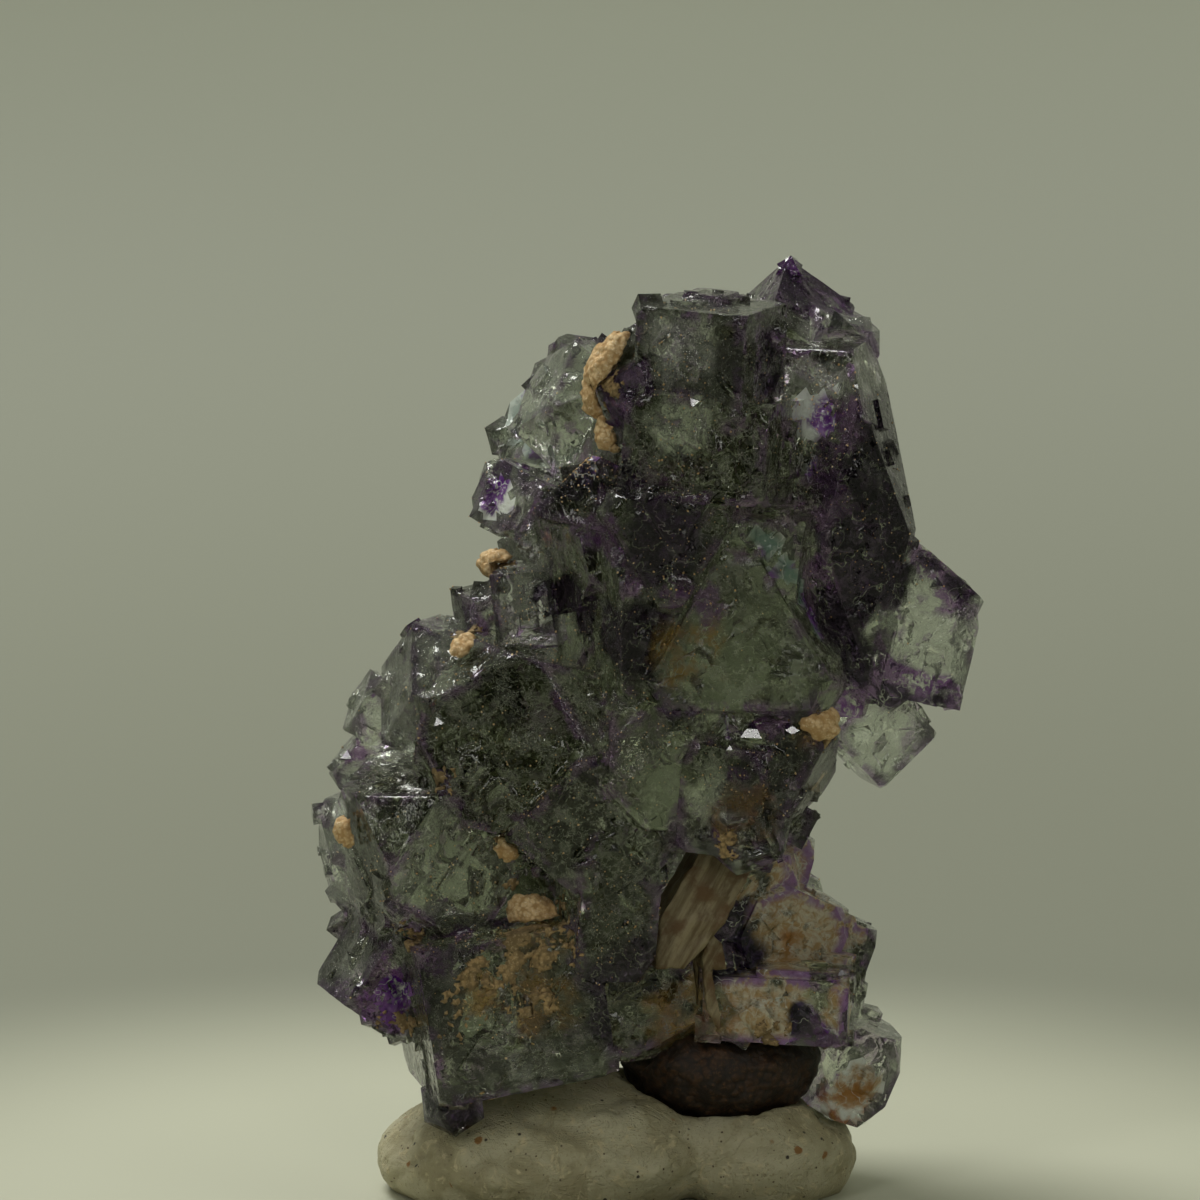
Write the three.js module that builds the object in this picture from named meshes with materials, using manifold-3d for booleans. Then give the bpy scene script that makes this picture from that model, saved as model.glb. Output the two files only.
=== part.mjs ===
// A miniature fluorite specimen: a leaning cluster of intergrown green and purple crystals, from octahedra
// to cubes, with pale blades and tan grains of matrix between them, standing in a pad of soft putty.
// Millimetres, +Z up. The origin is the middle of the putty's flat underside, and the front faces -Y.

import * as THREE from 'three';
import { ConvexGeometry } from 'three/addons/geometries/ConvexGeometry.js';
import { mergeVertices } from 'three/addons/utils/BufferGeometryUtils.js';
import Module from 'manifold-3d';

const wasm = await Module();
wasm.setup();

const TOUCH_GAP = 0.34; // clear space kept between neighbouring solids
const WELD = 1e-4; // vertices nearer than this are one

// Turns that bring one face of an octahedron to the front, with its point up or down.
const POINT_UP = [225, -54.7, -90];
const POINT_DOWN = [45, 54.7, -90];

// The crystals. Each has its centre, its half size along its own axes, its turn about X, Y and Z in
// degrees, its habit and its number of raised growth steps. Habit 1 is an octahedron, 2 a cuboctahedron
// and 3 a cube, with all forms between.
const CROWN = [
  { at: [4.7, -5.5, 38.9], half: [2.6, 2.5, 2.5], turn: [2, 3, -24], habit: 2.85, steps: 2 }, // front block
  { at: [4.9, -5.0, 34.9], half: [3.3, 3.2, 2.3], turn: [-4, 3, -18], habit: 2.75, steps: 1 }, // its ledge
  { at: [2.3, -4.6, 37.5], half: [2.3, 2.3, 2.7], turn: [10, 20, -30], habit: 1.7, steps: 0 }, // left of it
  { at: [8.3, 1.0, 39.4], half: [1.95, 1.95, 1.95], turn: [45, 35.3, 14], habit: 2.93, steps: 0 }, // the tip
  { at: [10.0, 0.8, 38.8], half: [1.7, 1.9, 1.7], turn: [15, 20, 25], habit: 2.5, steps: 0 }, // below it
  { at: [2.9, -1.0, 39.9], half: [1.1, 1.2, 1.3], turn: [30, 35, 10], habit: 2.0, steps: 0 }, // small
  { at: [10.2, -1.2, 30.8], half: [3.0, 3.6, 8.4], turn: [2, -3, 24], habit: 1.75, steps: 1 }, // long
  { at: [13.0, -1.0, 26.4], half: [2.1, 2.5, 3.3], turn: [0, 42, 16], habit: 2.75, steps: 0 }, // clear
  { at: [14.1, -1.0, 25.2], half: [1.9, 2.3, 2.2], turn: [0, 14, 16], habit: 2.75, steps: 0 }, // its foot
  { at: [12.2, -0.3, 21.4], half: [1.75, 1.9, 1.8], turn: [0, 47, 15], habit: 2.85, steps: 0 }, // pale corner
  { at: [-1.1, 3.5, 35.7], half: [2.1, 2.5, 2.6], turn: [20, 30, 20], habit: 2.0, steps: 0 }, // behind
  { at: [-2.7, 6.5, 34.0], half: [1.4, 1.6, 1.8], turn: [0, 30, 45], habit: 2.5, steps: 0 }, // behind
  { at: [-1.1, 7.0, 36.3], half: [1.4, 1.5, 1.8], turn: [20, 10, 15], habit: 2.6, steps: 0 },
];
const MIDDLE = [
  { at: [6.0, -4.0, 26.2], half: [5.7, 5.7, 5.7], turn: POINT_UP, habit: 1.2, steps: 0 }, // the largest
  { at: [2.9, -5.3, 31.0], half: [3.9, 3.9, 3.9], turn: POINT_DOWN, habit: 1.2, steps: 1 }, // inverted
  { at: [6.6, -4.6, 30.2], half: [2.7, 2.9, 2.0], turn: [2, 6, -12], habit: 2.7, steps: 1 }, // to its right
  { at: [2.2, -3.3, 27.0], half: [3.2, 3.6, 4.4], turn: [3, -2, 24], habit: 2.5, steps: 1 }, // pale side
  { at: [-0.3, -4.3, 32.4], half: [2.9, 2.6, 2.2], turn: [24, -10, 8], habit: 1.12, steps: 0 }, // sloping
  { at: [0.0, -2.4, 30.0], half: [2.7, 3.0, 2.4], turn: [-10, -10, 30], habit: 2.4, steps: 0 },
  { at: [-3.7, 0.5, 31.6], half: [1.6, 1.6, 1.5], turn: [15, 20, 40], habit: 2.5, steps: 0 }, // clear group
  { at: [-2.4, -0.6, 31.2], half: [1.5, 1.5, 1.3], turn: [5, 24, 15], habit: 2.7, steps: 0 },
  { at: [-4.7, 1.0, 32.3], half: [0.9, 0.9, 0.9], turn: [40, 10, 10], habit: 2.6, steps: 0 },
  { at: [-3.3, -2.2, 27.4], half: [1.4, 1.6, 1.75], turn: [4, -6, -14], habit: 2.95, steps: 0 }, // cube
  { at: [-5.2, -1.0, 26.3], half: [1.15, 1.4, 1.6], turn: [5, -10, 25], habit: 2.9, steps: 0 }, // purple-edged
  { at: [-7.5, -1.8, 23.4], half: [2.1, 2.4, 2.9], turn: [10, 12, 20], habit: 2.0, steps: 1 }, // rounded
  { at: [-10.4, 0.5, 22.2], half: [1.0, 1.4, 1.5], turn: [0, 25, 10], habit: 2.2, steps: 0 },
  { at: [-10.7, 0.8, 19.4], half: [1.4, 1.5, 1.2], turn: [15, 40, 5], habit: 2.5, steps: 0 },
  { at: [-11.0, -0.5, 15.9], half: [1.8, 2.0, 2.6], turn: [0, -8, 12], habit: 1.8, steps: 0 }, // far left
  { at: [-8.0, -3.0, 16.6], half: [3.4, 3.6, 3.5], turn: [8, -12, 24], habit: 2.2, steps: 1 },
  { at: [-3.9, -3.2, 21.4], half: [4.0, 4.0, 4.0], turn: [-5, 14, -10], habit: 2.15, steps: 1 },
  { at: [-0.6, -4.2, 18.4], half: [3.2, 3.2, 3.2], turn: [12, 40, 20], habit: 2.5, steps: 1 },
  { at: [2.7, -4.3, 20.9], half: [3.2, 3.0, 2.9], turn: [4, 4, 12], habit: 2.4, steps: 0 },
  { at: [7.4, -5.2, 21.0], half: [3.4, 3.4, 3.4], turn: POINT_DOWN, habit: 1.25, steps: 1 }, // overhanging
  { at: [5.7, -5.2, 19.4], half: [1.9, 2.6, 2.5], turn: [4, 6, -12], habit: 2.7, steps: 1 }, // in its flank
  { at: [6.4, -6.0, 17.8], half: [1.6, 1.8, 1.6], turn: [20, 20, 10], habit: 2.0, steps: 0 }, // stained
  { at: [8.2, -3.2, 17.7], half: [0.9, 1.1, 0.9], turn: [0, 30, 20], habit: 3, steps: 0 },
];
const FOOT = [
  { at: [-9.9, -2.5, 10.4], half: [2.0, 2.1, 2.0], turn: [10, 30, 30], habit: 2.75, steps: 1 }, // corner
  { at: [-10.3, -1.2, 12.9], half: [1.3, 1.5, 1.4], turn: [0, 10, 20], habit: 2.6, steps: 0 },
  { at: [-4.8, -3.0, 9.6], half: [4.1, 4.2, 3.6], turn: [2, -9, 12], habit: 2.85, steps: 2 }, // lower front
  { at: [-6.9, -5.0, 5.0], half: [1.1, 1.2, 1.1], turn: [20, 10, 30], habit: 2.0, steps: 0 }, // black
  { at: [-0.1, -4.6, 14.3], half: [1.9, 2.3, 3.3], turn: [5, 3, 20], habit: 2.6, steps: 0 },
  { at: [5.6, -0.5, 14.4], half: [2.3, 2.4, 2.3], turn: [10, 20, 30], habit: 2.4, steps: 0 },
  { at: [7.6, 1.5, 14.9], half: [1.5, 1.8, 1.6], turn: [0, 15, 10], habit: 2.5, steps: 0 },
  { at: [7.8, 0.5, 12.2], half: [2.4, 2.6, 2.1], turn: [5, 25, 20], habit: 2.5, steps: 0 },
  { at: [10.3, 1.0, 10.9], half: [1.5, 1.8, 1.7], turn: [0, 20, 10], habit: 2.6, steps: 0 },
  { at: [8.2, -0.5, 9.2], half: [3.3, 3.6, 1.5], turn: [3, 2, -8], habit: 2.85, steps: 1 }, // lower right
  { at: [11.2, 0.5, 5.7], half: [1.5, 2.2, 2.2], turn: [10, 20, 20], habit: 2.4, steps: 1 }, // foot
];
const BACK = [
  { at: [6.2, 5.5, 34.5], half: [3.5, 3.4, 3.8], turn: [10, 15, 20], habit: 2, steps: 1 },
  { at: [2.4, 7.5, 30.0], half: [3.6, 3.2, 3.4], turn: [0, 25, -15], habit: 2.4, steps: 0 },
  { at: [9.4, 4.5, 28.0], half: [3.0, 3.0, 3.6], turn: [15, 10, 30], habit: 2.6, steps: 0 },
  { at: [-1.6, 5.8, 28.2], half: [2.4, 2.6, 2.6], turn: [20, 0, 35], habit: 2, steps: 0 },
  { at: [5.8, 8.5, 23.8], half: [3.2, 3.0, 3.0], turn: [-10, 20, 10], habit: 2.7, steps: 1 },
  { at: [-1.0, 8.4, 22.6], half: [3.4, 3.2, 3.2], turn: [8, 35, 0], habit: 2, steps: 0 },
  { at: [-6.2, 5.4, 20.6], half: [2.8, 2.8, 3.0], turn: [0, 10, 40], habit: 2.5, steps: 0 },
  { at: [6.2, 5.8, 18.6], half: [2.0, 2.4, 2.4], turn: [20, 30, 10], habit: 2, steps: 0 },
  { at: [2.8, 7.6, 17.0], half: [3.2, 3.0, 3.2], turn: [5, -10, 25], habit: 2.6, steps: 1 },
  { at: [-3.8, 7.2, 15.4], half: [3.2, 3.0, 3.2], turn: [15, 20, -20], habit: 2, steps: 0 },
  { at: [-8.2, 4.0, 13.8], half: [2.4, 2.6, 2.6], turn: [0, 30, 15], habit: 2.4, steps: 0 },
  { at: [6.4, 5.6, 11.2], half: [2.8, 2.8, 2.8], turn: [10, 5, 30], habit: 2.5, steps: 0 },
  { at: [-0.6, 6.2, 9.6], half: [3.6, 3.0, 3.2], turn: [0, 15, 10], habit: 2.7, steps: 1 },
  { at: [-6.0, 4.0, 8.8], half: [2.6, 2.8, 2.8], turn: [12, 10, 40], habit: 2, steps: 0 },
  { at: [9.4, 4.0, 7.4], half: [1.9, 2.2, 2.2], turn: [0, 25, 35], habit: 2, steps: 0 },
];
const CORE = [
  { at: [4.5, 1.5, 32.0], half: [5.2, 5.0, 5.2], turn: [10, 10, 30], habit: 2, steps: 0 },
  { at: [3.5, 2.0, 24.5], half: [6.0, 5.5, 5.5], turn: [0, 15, 15], habit: 2, steps: 0 },
  { at: [-1.0, 2.0, 18.0], half: [7.0, 5.5, 6.0], turn: [0, 15, 15], habit: 2, steps: 0 },
  { at: [0.6, 2.0, 10.4], half: [7.0, 4.6, 4.0], turn: [0, 0, 5], habit: 2, steps: 0 },
];
const CRYSTALS = [...CROWN, ...MIDDLE, ...FOOT, ...BACK, ...CORE];
const STEP_SHARE = [0.38, 0.66]; // a growth step's size as a share of its crystal's
const STEP_RISE = [0.16, 0.36]; // how far a step stands out of the face it grew on
const STEP_OFF_CENTRE = [0.1, 0.9]; // its shift along that face, as a share of the room there
const CUBE_STEPS_FROM = 1.6; // no step grows on a cube face of a habit below this

// Rounded lumps, each with its middle, its three half sizes and its turn in degrees.
const PUTTY_LOBES = [
  { at: [-2.2, 0, 1.9], half: [8.2, 7.0, 3.7], turn: [0, -4, 0] },
  { at: [6.8, 0.6, 1.9], half: [4.7, 5.6, 3.3], turn: [0, 6, 0] },
];
const FOOT_ROCK = { at: [5.4, 0.4, 5.8], half: [4.6, 4.2, 2.4], turn: [0, 0, 0] };
const GRAINS = {
  grain_crown: { at: [0.35, -5.0, 38.3], half: [1.15, 1.3, 2.2], turn: [0, 28, 0] },
  grain_under_crown: { at: [0.3, -5.4, 35.6], half: [0.8, 0.9, 0.85], turn: [0, 0, 0] },
  grain_on_pale_cube: { at: [-4.8, -1.4, 29.1], half: [0.85, 0.9, 0.6], turn: [0, 20, 0] },
  grain_beside_cube: { at: [-6.3, -4.9, 25.6], half: [0.65, 0.65, 0.75], turn: [0, -30, 0] },
  grain_left: { at: [-11.5, -4.6, 17.4], half: [0.6, 0.65, 0.65], turn: [0, 0, 30] },
  grain_middle: { at: [-4.4, -5.6, 16.9], half: [0.65, 0.65, 0.6], turn: [0, 0, 0] },
  grain_front: { at: [-3.1, -5.3, 13.5], half: [1.3, 0.9, 1.1], turn: [0, 20, 0] },
  grain_overhang: { at: [9.5, -7.6, 22.9], half: [0.95, 0.9, 0.7], turn: [0, 20, 0] },
};
// Blades of pale feldspar between the lower crystals, each with its middle, half sizes and turn.
const BLADES = {
  blade_large: { at: [4.4, -3.7, 14.6], half: [1.35, 1.2, 4.1], turn: [0, 29, 10] },
  blade_small: { at: [4.8, -3.2, 10.4], half: [0.6, 0.9, 2.2], turn: [0, -8, 15] },
};
// A blade's outline in its half width and half length: left side, narrow foot, right side and head.
const BLADE_OUTLINE = [
  [-1, -0.55], [-0.35, -1], [0.5, -0.85], [1, -0.2], [0.9, 0.75], [0.1, 1], [-0.85, 0.5],
];

const LUMP_DETAIL = { putty: 6, rock: 3, grain: 2 }; // how finely the lumps' surfaces are divided
const LUMP_WAVES = { putty: 0.035, rock: 0.05, grain: 0.12 }; // wave height as a share of the radius
const BROAD_WAVES = [3.1, 2.7, 3.7]; // radians per unit radius along X, Y and Z
const FINE_WAVES = [7.3, 6.1, 8.3];
const FLOOR_SLAB = [60, 60, 20]; // cuts the putty's flat underside

const MATERIALS = {
  fluorite: new THREE.MeshStandardMaterial({ color: 0x4f5a48, roughness: 0.2, metalness: 0 }),
  rock: new THREE.MeshStandardMaterial({ color: 0x7a4a26, roughness: 0.9, metalness: 0 }),
  grain: new THREE.MeshStandardMaterial({ color: 0xc79a5c, roughness: 0.9, metalness: 0 }),
  blade: new THREE.MeshStandardMaterial({ color: 0xa39a7c, roughness: 0.6, metalness: 0 }),
  putty: new THREE.MeshStandardMaterial({ color: 0x8a8770, roughness: 0.75, metalness: 0 }),
};

// Repeatable numbers from 0 to 1, so that the specimen is the same each time it is built.
let seed = 7;
function random() {
  seed = (seed * 16807) % 2147483647;
  return seed / 2147483647;
}
const between = ([low, high]) => low + (high - low) * random();
const sign = () => (random() < 0.5 ? -1 : 1);

// A closed geometry as a solid that can be joined and cut.
function toSolid(geometry) {
  const bare = geometry.clone();
  bare.deleteAttribute('normal');
  bare.deleteAttribute('uv');
  const merged = mergeVertices(bare, WELD);
  return new wasm.Manifold(new wasm.Mesh({
    numProp: 3,
    vertProperties: merged.attributes.position.array,
    triVerts: new Uint32Array(merged.index.array),
  }));
}

// A solid as a geometry with flat faces.
function toGeometry(solid) {
  const { vertProperties, triVerts } = solid.getMesh();
  const geometry = new THREE.BufferGeometry();
  geometry.setAttribute('position', new THREE.BufferAttribute(vertProperties, 3));
  geometry.setIndex(new THREE.BufferAttribute(triVerts, 1));
  const flat = geometry.toNonIndexed();
  flat.computeVertexNormals();
  return flat;
}

function join(solids) {
  return solids.reduce((whole, next) => whole.add(next));
}

// The largest closed shell of a solid: without crumbs beside it, or sealed gaps inside it.
function largestPart(solid) {
  return solid.decompose().reduce((best, next) => (next.volume() > best.volume() ? next : best));
}

function turned([x, y, z]) {
  const [rx, ry, rz] = [x, y, z].map(THREE.MathUtils.degToRad);
  return new THREE.Matrix4().makeRotationFromEuler(new THREE.Euler(rx, ry, rz, 'ZYX'));
}

// The corners of a crystal whose half sizes are 1: the signed permutations of (1, b, c). A cube's corners
// are cut back to the octahedron's faces as the habit goes from 3 to 1.
function habitCorners(habit) {
  const b = Math.min(1, habit - 1);
  const c = Math.max(0, habit - 2);
  const corners = [];
  for (const [x, y, z] of [[1, b, c], [1, c, b], [b, 1, c], [b, c, 1], [c, 1, b], [c, b, 1]]) {
    for (const sx of [-1, 1]) {
      for (const sy of [-1, 1]) {
        for (const sz of [-1, 1]) corners.push(new THREE.Vector3(sx * x, sy * y, sz * z));
      }
    }
  }
  return corners;
}

function crystal({ at, half, turn, habit }) {
  const geometry = new ConvexGeometry(habitCorners(habit));
  geometry.scale(...half).applyMatrix4(turned(turn)).translate(...at);
  return toSolid(geometry);
}

// A raised growth step: a smaller crystal, parallel to its parent and shifted until one of its faces stands
// out of the parent's. Cubes grow steps on cube faces, and octahedra on octahedral ones.
function growthStep(parent) {
  const share = between(STEP_SHARE);
  const room = 1 - share;
  const smallest = Math.min(...parent.half);
  const rise = between(STEP_RISE) / smallest;
  const shift = [between(STEP_OFF_CENTRE) * room * sign(), between(STEP_OFF_CENTRE) * room * sign(), 0];
  if (random() < parent.habit - CUBE_STEPS_FROM) {
    shift[2] = (room + rise) * sign();
  } else {
    const used = Math.abs(shift[0]) + Math.abs(shift[1]);
    const reach = room * parent.habit + rise * Math.sqrt(3) - used;
    shift[2] = Math.min(room, Math.max(0, reach)) * sign();
  }
  const axis = Math.floor(random() * 3);
  const local = new THREE.Vector3(shift[(axis + 1) % 3], shift[(axis + 2) % 3], shift[axis]);
  local.multiply(new THREE.Vector3(...parent.half)).applyMatrix4(turned(parent.turn));
  const middle = new THREE.Vector3(...parent.at).add(local);
  return { ...parent, at: middle.toArray(), half: parent.half.map((size) => size * share) };
}

// Waves along X, Y and Z, each started by where the lump is so that no two lumps are alike.
function wavesAt(point, waves, at) {
  return point.map((along, axis) => Math.sin(waves[axis] * along + at[axis]));
}

// A lump with an uneven surface: a ball of flat facets, stretched, with waves along its radius.
function lump({ at, half, turn }, kind) {
  const geometry = new THREE.IcosahedronGeometry(1, LUMP_DETAIL[kind]);
  const points = geometry.attributes.position;
  for (let i = 0; i < points.count; i += 1) {
    const [x, y, z] = [points.getX(i), points.getY(i), points.getZ(i)];
    const [bx, by, bz] = wavesAt([x, y, z], BROAD_WAVES, at);
    const [fx, fy, fz] = wavesAt([x, y, z], FINE_WAVES, at);
    const radius = 1 + LUMP_WAVES[kind] * ((bx * by + bz) / 2 + fx * fy * fz);
    points.setXYZ(i, x * radius * half[0], y * radius * half[1], z * radius * half[2]);
  }
  return toSolid(geometry.applyMatrix4(turned(turn)).translate(...at));
}

// A flat-sided blade with a tapered outline.
function blade({ at, half, turn }) {
  const outline = new THREE.Shape(BLADE_OUTLINE.map(([x, z]) => new THREE.Vector2(x, z)));
  const geometry = new THREE.ExtrudeGeometry(outline, { depth: 2, bevelEnabled: false });
  geometry.translate(0, 0, -1).rotateX(Math.PI / 2).scale(...half);
  return toSolid(geometry.applyMatrix4(turned(turn)).translate(...at));
}

function grown(entry, by) {
  return { ...entry, half: entry.half.map((size) => size + by) };
}

// The space a crystal takes with the gap around it. The faces of an octahedron lie nearer its middle than
// its corners do, so it has to grow by more for the same gap.
function roomOf(entry) {
  return crystal(grown(entry, TOUCH_GAP * Math.max(1, Math.sqrt(3) / entry.habit)));
}

function piece(name, solid, material) {
  const mesh = new THREE.Mesh(toGeometry(solid), material);
  mesh.name = name;
  return mesh;
}

const GROWN = CRYSTALS.flatMap((entry) => [
  entry,
  ...Array.from({ length: entry.steps }, () => growthStep(entry)),
]);
const fluorite = largestPart(join(GROWN.map(crystal)));
const fluoriteRoom = largestPart(join(GROWN.map(roomOf)));

const rock = lump(FOOT_ROCK, 'rock').subtract(fluoriteRoom);
const rockRoom = lump(grown(FOOT_ROCK, TOUCH_GAP), 'rock');
const floorSlab = new THREE.BoxGeometry(...FLOOR_SLAB).translate(0, 0, -FLOOR_SLAB[2] / 2);
const pad = join(PUTTY_LOBES.map((lobe) => lump(lobe, 'putty')))
  .subtract(toSolid(floorSlab))
  .subtract(fluoriteRoom)
  .subtract(rockRoom);

const specimen = new THREE.Group();
specimen.add(piece('fluorite_crystals', fluorite, MATERIALS.fluorite));
specimen.add(piece('foot_rock', largestPart(rock), MATERIALS.rock));
for (const [name, entry] of Object.entries(BLADES)) {
  specimen.add(piece(name, largestPart(blade(entry).subtract(fluoriteRoom)), MATERIALS.blade));
}
for (const [name, entry] of Object.entries(GRAINS)) {
  specimen.add(piece(name, largestPart(lump(entry, 'grain').subtract(fluoriteRoom)), MATERIALS.grain));
}
specimen.add(piece('putty_pad', largestPart(pad), MATERIALS.putty));

export default specimen;
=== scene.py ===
import math
import random

import bmesh
import bpy
from mathutils import Matrix, Vector, bvhtree, kdtree, noise


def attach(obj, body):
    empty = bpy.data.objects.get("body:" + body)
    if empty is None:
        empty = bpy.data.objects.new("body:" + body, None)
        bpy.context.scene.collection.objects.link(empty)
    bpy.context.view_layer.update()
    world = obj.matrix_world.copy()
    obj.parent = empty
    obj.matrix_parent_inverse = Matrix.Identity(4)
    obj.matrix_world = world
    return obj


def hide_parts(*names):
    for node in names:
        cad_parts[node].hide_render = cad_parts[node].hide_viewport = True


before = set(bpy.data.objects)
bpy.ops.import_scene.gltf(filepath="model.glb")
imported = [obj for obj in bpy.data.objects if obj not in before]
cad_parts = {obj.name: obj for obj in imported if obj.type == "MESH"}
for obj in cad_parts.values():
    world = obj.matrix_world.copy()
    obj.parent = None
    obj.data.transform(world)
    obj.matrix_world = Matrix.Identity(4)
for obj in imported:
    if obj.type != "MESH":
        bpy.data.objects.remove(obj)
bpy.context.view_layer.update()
scene = bpy.context.scene
MM = 0.001

# The crystals: one mass of fluorite that grew together, from octahedra to cubes, glassy and olive green,
# with purple in its corners and edges. Its faces carry thin raised growth layers, and its edges are
# slightly worn, so the piece is the solid with such layers joined on and its surface made uneven.
LAYER_MIN_FACE = 2.2 * MM * MM
FACE_PER_LAYER = 4.0 * MM * MM
FACE_PER_SPROUT = 9.0 * MM * MM
FACET_LENGTH = 0.45 * MM
EDGE_ANGLE = math.radians(35)


def merged_copy(name):
    """A bmesh of a node's mesh, with the corners of its loose triangles joined."""
    bm = bmesh.new()
    bm.from_mesh(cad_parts[name].data)
    bmesh.ops.remove_doubles(bm, verts=bm.verts, dist=0.0005 * MM)
    return bm


def evened(bm, length):
    """Cuts a mesh's long edges until none is much longer than the given length."""
    bmesh.ops.triangulate(bm, faces=bm.faces)
    for _ in range(7):
        longest = [edge for edge in bm.edges if edge.calc_length() > length * 1.4]
        if not longest:
            break
        bmesh.ops.subdivide_edges(bm, edges=longest, cuts=1)
        bmesh.ops.triangulate(bm, faces=[face for face in bm.faces if len(face.verts) > 3])
    bm.normal_update()


def finished(bm, name, material, node_names, sharp_angle):
    """The object of a bmesh, smooth but for its sharp edges, riding and standing for its nodes."""
    mesh = bpy.data.meshes.new(name)
    bm.to_mesh(mesh)
    bm.free()
    mesh.materials.append(material)
    mesh.shade_smooth()
    mesh.set_sharp_from_angle(angle=math.radians(sharp_angle))
    piece = bpy.data.objects.new(name, mesh)
    scene.collection.objects.link(piece)
    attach(piece, "root")
    if node_names:
        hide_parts(*node_names)
    return piece


def add_node(tree, kind, inputs=(), **settings):
    """A shader node with its settings, and its inputs set to values or linked to sockets."""
    made = tree.nodes.new(kind)
    for name, value in settings.items():
        setattr(made, name, value)
    for socket, value in dict(inputs).items():
        if isinstance(value, bpy.types.NodeSocket):
            tree.links.new(value, made.inputs[socket])
        else:
            made.inputs[socket].default_value = value
    return made


def maths(tree, operation, *values, clamp=False):
    made = add_node(tree, "ShaderNodeMath", dict(enumerate(values)), operation=operation)
    made.use_clamp = clamp
    return made.outputs[0]


def blended(tree, factor, first, second, blend_type="MIX"):
    made = tree.nodes.new("ShaderNodeMix")
    made.data_type = "RGBA"
    made.blend_type = blend_type
    for index, value in ((0, factor), (6, first), (7, second)):
        if isinstance(value, bpy.types.NodeSocket):
            tree.links.new(value, made.inputs[index])
        else:
            made.inputs[index].default_value = value
    return made.outputs[2]


def ramp(tree, value, *stops):
    """A smooth step of a value between two positions, from 0 to 1."""
    made = add_node(
        tree, "ShaderNodeMapRange", {"Value": value, "From Min": stops[0], "From Max": stops[1]}
    )
    made.interpolation_type = "SMOOTHSTEP"
    return made.outputs["Result"]


def tint(red, green, blue):
    """A colour as the eye names it, 0 to 255, in the linear values that shaders use."""
    return (*((part / 255) ** 2.2 for part in (red, green, blue)), 1.0)


def new_material(name):
    """A material's tree with its output, and its Object coordinates in millimetres."""
    material = bpy.data.materials.new(name)
    material.use_nodes = True
    tree = material.node_tree
    tree.nodes.clear()
    output = tree.nodes.new("ShaderNodeOutputMaterial")
    place = tree.nodes.new("ShaderNodeTexCoord").outputs["Object"]
    scaled = add_node(tree, "ShaderNodeVectorMath", {0: place, "Scale": 1000.0}, operation="SCALE")
    return material, tree, output, scaled.outputs[0]


def noise_of(tree, place, scale, detail=4.0, rough=0.5, distortion=0.0):
    made = add_node(
        tree,
        "ShaderNodeTexNoise",
        {"Vector": place, "Scale": scale, "Detail": detail, "Roughness": rough, "Distortion": distortion},
    )
    return made.outputs["Fac"]


def layer_plates(bm, rng):
    """Thin plates along the larger faces, each as its middle, its matrix and its reach."""
    plates = []
    for face in bm.faces:
        area = face.calc_area()
        if area < LAYER_MIN_FACE:
            continue
        along = max(face.edges, key=lambda edge: edge.calc_length())
        run = (along.verts[1].co - along.verts[0].co).normalized()
        turn = Matrix((run, face.normal.cross(run), face.normal)).transposed().to_4x4()
        middle = face.calc_center_median()
        for _ in range(min(9, 1 + int(area / FACE_PER_LAYER * rng.uniform(0.5, 1.5)))):
            spot = middle.lerp(rng.choice(face.verts).co, rng.uniform(0.0, 0.85))
            wide = rng.uniform(0.2, 1.0) * math.sqrt(area) * 0.34
            deep = wide * rng.uniform(0.5, 1.2)
            rise = rng.uniform(0.05, 0.22) * MM
            spin = Matrix.Rotation(math.radians(rng.choice((0, 0, 45, 60))), 4, "Z")
            size = Matrix.Diagonal((wide, deep, rise * 2, 1))
            plates.append((spot, Matrix.Translation(spot) @ turn @ spin @ size, max(wide, deep)))
        for _ in range(int(area / FACE_PER_SPROUT + rng.uniform(0.0, 1.0))):
            spot = middle.lerp(rng.choice(face.verts).co, rng.uniform(0.2, 0.95))
            side = rng.uniform(0.35, 1.3) * MM
            lean = Matrix.Rotation(math.radians(rng.choice((0, 35, 45)) + rng.uniform(-9, 9)), 4, "X")
            spin = Matrix.Rotation(math.radians(rng.choice((0, 30, 45)) + rng.uniform(-9, 9)), 4, "Z")
            size = Matrix.Diagonal((side, side * rng.uniform(0.7, 1.3), side * rng.uniform(0.6, 1.0), 1))
            matrix = Matrix.Translation(spot - face.normal * side * 0.22) @ turn @ spin @ lean @ size
            plates.append((spot, matrix, side))
    return plates


def join_layer(base, layer):
    """Joins a bmesh of closed shapes onto the object base."""
    mesh = bpy.data.meshes.new("layer")
    layer.to_mesh(mesh)
    layer.free()
    tool = bpy.data.objects.new("layer", mesh)
    scene.collection.objects.link(tool)
    union = base.modifiers.new("union", "BOOLEAN")
    union.operation = "UNION"
    union.solver = "MANIFOLD"
    union.object = tool
    result = bpy.data.meshes.new_from_object(base.evaluated_get(bpy.context.evaluated_depsgraph_get()))
    base.modifiers.clear()
    before = base.data
    base.data = result
    bpy.data.meshes.remove(before)
    bpy.data.objects.remove(tool)
    bpy.data.meshes.remove(mesh)


def edge_tree_of(bm):
    """The outward edges of the crystals, as points close together for a quick search."""
    points = []
    for edge in bm.edges:
        if len(edge.link_faces) == 2 and edge.is_convex and edge.calc_face_angle(0) > EDGE_ANGLE:
            first, last = (vert.co for vert in edge.verts)
            parts = max(1, int((last - first).length / (0.3 * MM)))
            points.extend(first.lerp(last, (k + 0.5) / parts) for k in range(parts))
    tree = kdtree.KDTree(len(points))
    for index, point in enumerate(points):
        tree.insert(point, index)
    tree.balance()
    return tree


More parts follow.
